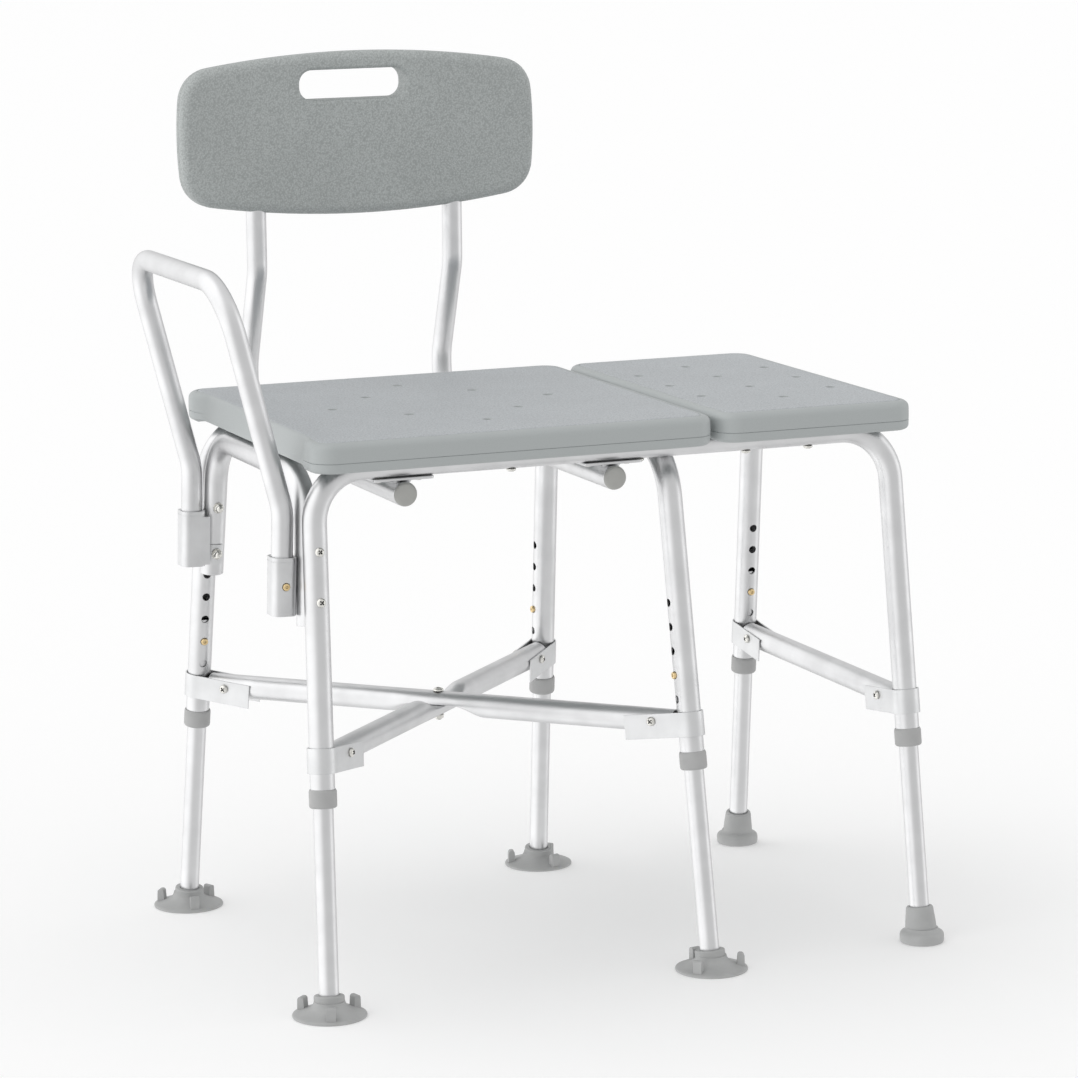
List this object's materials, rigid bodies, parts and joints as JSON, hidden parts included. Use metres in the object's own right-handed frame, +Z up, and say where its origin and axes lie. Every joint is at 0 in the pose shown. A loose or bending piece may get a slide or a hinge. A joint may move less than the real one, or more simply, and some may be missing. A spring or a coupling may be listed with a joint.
{
  "type": "bath transfer bench",
  "caption": "Tubular aluminium bath transfer bench with moulded main and extension seats, slotted back rest, lift-off arm rail, telescoping splayed legs, suction feet and rubber tips.",
  "frame": {"origin": "centre of the bounding box at floor level", "axes": "+X along the bench from the arm rail to the extension seat, +Y towards the back rest, +Z up"},
  "size_m": [0.7742, 0.6105, 0.9359],
  "materials": {
    "aluminium": "satin anodised tube",
    "seat_plastic": "pebbled grey blow-moulded plastic",
    "collar_plastic": "plain grey plastic",
    "foot_rubber": "matt grey rubber",
    "brass": "plain",
    "zinc_steel": "bright zinc plate"
  },
  "bodies": {
    "frame": {"front_frame_tube": "aluminium", "rear_frame_tube": "aluminium", "middle_frame_tube": "aluminium", "side_frame_tube": "aluminium", "cross_brace_upper": "aluminium", "cross_brace_lower": "aluminium", "end_brace": "aluminium", "cross_bolt": "zinc_steel", "main_seat": "seat_plastic", "extension_seat": "seat_plastic", "back_receiver_left": "aluminium", "back_receiver_right": "aluminium", "receiver_cap_left": "collar_plastic", "receiver_cap_right": "collar_plastic", "arm_socket_front": "aluminium", "arm_socket_rear": "aluminium", "collar_front_left": "collar_plastic", "collar_rear_left": "collar_plastic", "collar_front_middle": "collar_plastic", "collar_rear_middle": "collar_plastic", "collar_front_right": "collar_plastic", "collar_rear_right": "collar_plastic", "brace_bracket_front_left": "aluminium", "brace_bracket_rear_left": "aluminium", "brace_bracket_front_middle": "aluminium", "brace_bracket_rear_middle": "aluminium", "brace_bracket_front_right": "aluminium", "brace_bracket_rear_right": "aluminium", "brace_bolt_front_left": "zinc_steel", "brace_bolt_rear_left": "zinc_steel", "brace_bolt_front_middle": "zinc_steel", "brace_bolt_rear_middle": "zinc_steel", "side_bolt_lower_front_left": "zinc_steel", "side_bolt_lower_rear_left": "zinc_steel", "side_bolt_upper_front_left": "zinc_steel", "side_bolt_upper_rear_left": "zinc_steel"},
    "leg_front_left": {"leg_extension_front_left": "aluminium", "suction_foot_front_left": "foot_rubber"},
    "leg_rear_left": {"leg_extension_rear_left": "aluminium", "suction_foot_rear_left": "foot_rubber"},
    "leg_front_middle": {"leg_extension_front_middle": "aluminium", "suction_foot_front_middle": "foot_rubber"},
    "leg_rear_middle": {"leg_extension_rear_middle": "aluminium", "suction_foot_rear_middle": "foot_rubber"},
    "leg_front_right": {"leg_extension_front_right": "aluminium", "rubber_tip_front_right": "foot_rubber"},
    "leg_rear_right": {"leg_extension_rear_right": "aluminium", "rubber_tip_rear_right": "foot_rubber"},
    "leg_button_front_left": {"snap_button_front_left": "brass"},
    "leg_button_rear_left": {"snap_button_rear_left": "brass"},
    "leg_button_front_middle": {"snap_button_front_middle": "brass"},
    "leg_button_rear_middle": {"snap_button_rear_middle": "brass"},
    "leg_button_front_right": {"snap_button_front_right": "brass"},
    "leg_button_rear_right": {"snap_button_rear_right": "brass"},
    "back": {"back_panel": "seat_plastic", "back_post_left": "aluminium", "back_post_right": "aluminium"},
    "arm": {"arm_rail": "aluminium"},
    "arm_button_front": {"arm_button_front": "brass"},
    "arm_button_rear": {"arm_button_rear": "brass"}
  },
  "joints": [
    {"name": "leg_slide_front_left", "type": "slide", "parent": "frame", "child": "leg_front_left", "axis": [-0.0317, -0.1238, -0.9918], "range_m": [-0.0762, 0.0254]},
    {"name": "leg_slide_rear_left", "type": "slide", "parent": "frame", "child": "leg_rear_left", "axis": [-0.0317, 0.1238, -0.9918], "range_m": [-0.0762, 0.0254]},
    {"name": "leg_slide_front_middle", "type": "slide", "parent": "frame", "child": "leg_front_middle", "axis": [0.0258, -0.1428, -0.9894], "range_m": [-0.0762, 0.0254]},
    {"name": "leg_slide_rear_middle", "type": "slide", "parent": "frame", "child": "leg_rear_middle", "axis": [0.0258, 0.1428, -0.9894], "range_m": [-0.0762, 0.0254]},
    {"name": "leg_slide_front_right", "type": "slide", "parent": "frame", "child": "leg_front_right", "axis": [0.0168, -0.1238, -0.9922], "range_m": [-0.0762, 0.0254]},
    {"name": "leg_slide_rear_right", "type": "slide", "parent": "frame", "child": "leg_rear_right", "axis": [0.0168, 0.1238, -0.9922], "range_m": [-0.0762, 0.0254]},
    {"name": "leg_button_press_front_left", "type": "slide", "parent": "leg_front_left", "child": "leg_button_front_left", "axis": [-0.004, 0.9923, -0.1237], "range_m": [-0.0042, 0], "stiffness_N_per_m": 1500, "deforming": ["snap_button_front_left"]},
    {"name": "leg_button_press_rear_left", "type": "slide", "parent": "leg_rear_left", "child": "leg_button_rear_left", "axis": [-0.004, -0.9923, -0.1237], "range_m": [-0.0042, 0], "stiffness_N_per_m": 1500, "deforming": ["snap_button_rear_left"]},
    {"name": "leg_button_press_front_middle", "type": "slide", "parent": "leg_front_middle", "child": "leg_button_front_middle", "axis": [-0.9997, -0.0037, -0.0256], "range_m": [-0.0042, 0], "stiffness_N_per_m": 1500, "deforming": ["snap_button_front_middle"]},
    {"name": "leg_button_press_rear_middle", "type": "slide", "parent": "leg_rear_middle", "child": "leg_button_rear_middle", "axis": [-0.9997, 0.0037, -0.0256], "range_m": [-0.0042, 0], "stiffness_N_per_m": 1500, "deforming": ["snap_button_rear_middle"]},
    {"name": "leg_button_press_front_right", "type": "slide", "parent": "leg_front_right", "child": "leg_button_front_right", "axis": [0.0021, 0.9923, -0.1238], "range_m": [-0.0042, 0], "stiffness_N_per_m": 1500, "deforming": ["snap_button_front_right"]},
    {"name": "leg_button_press_rear_right", "type": "slide", "parent": "leg_rear_right", "child": "leg_button_rear_right", "axis": [0.0021, -0.9923, -0.1238], "range_m": [-0.0042, 0], "stiffness_N_per_m": 1500, "deforming": ["snap_button_rear_right"]},
    {"name": "back_slide", "type": "slide", "parent": "frame", "child": "back", "axis": [0, 1, 0], "range_m": [0, 0.16]},
    {"name": "arm_lift", "type": "slide", "parent": "frame", "child": "arm", "axis": [0.032, 0, 0.9995], "range_m": [0, 0.08]},
    {"name": "arm_button_press_front", "type": "slide", "parent": "arm", "child": "arm_button_front", "axis": [0, -1, 0], "range_m": [-0.0065, 0], "stiffness_N_per_m": 1500, "deforming": ["arm_button_front"]},
    {"name": "arm_button_press_rear", "type": "slide", "parent": "arm", "child": "arm_button_rear", "axis": [0, 1, 0], "range_m": [-0.0065, 0], "stiffness_N_per_m": 1500, "deforming": ["arm_button_rear"]}
  ]
}
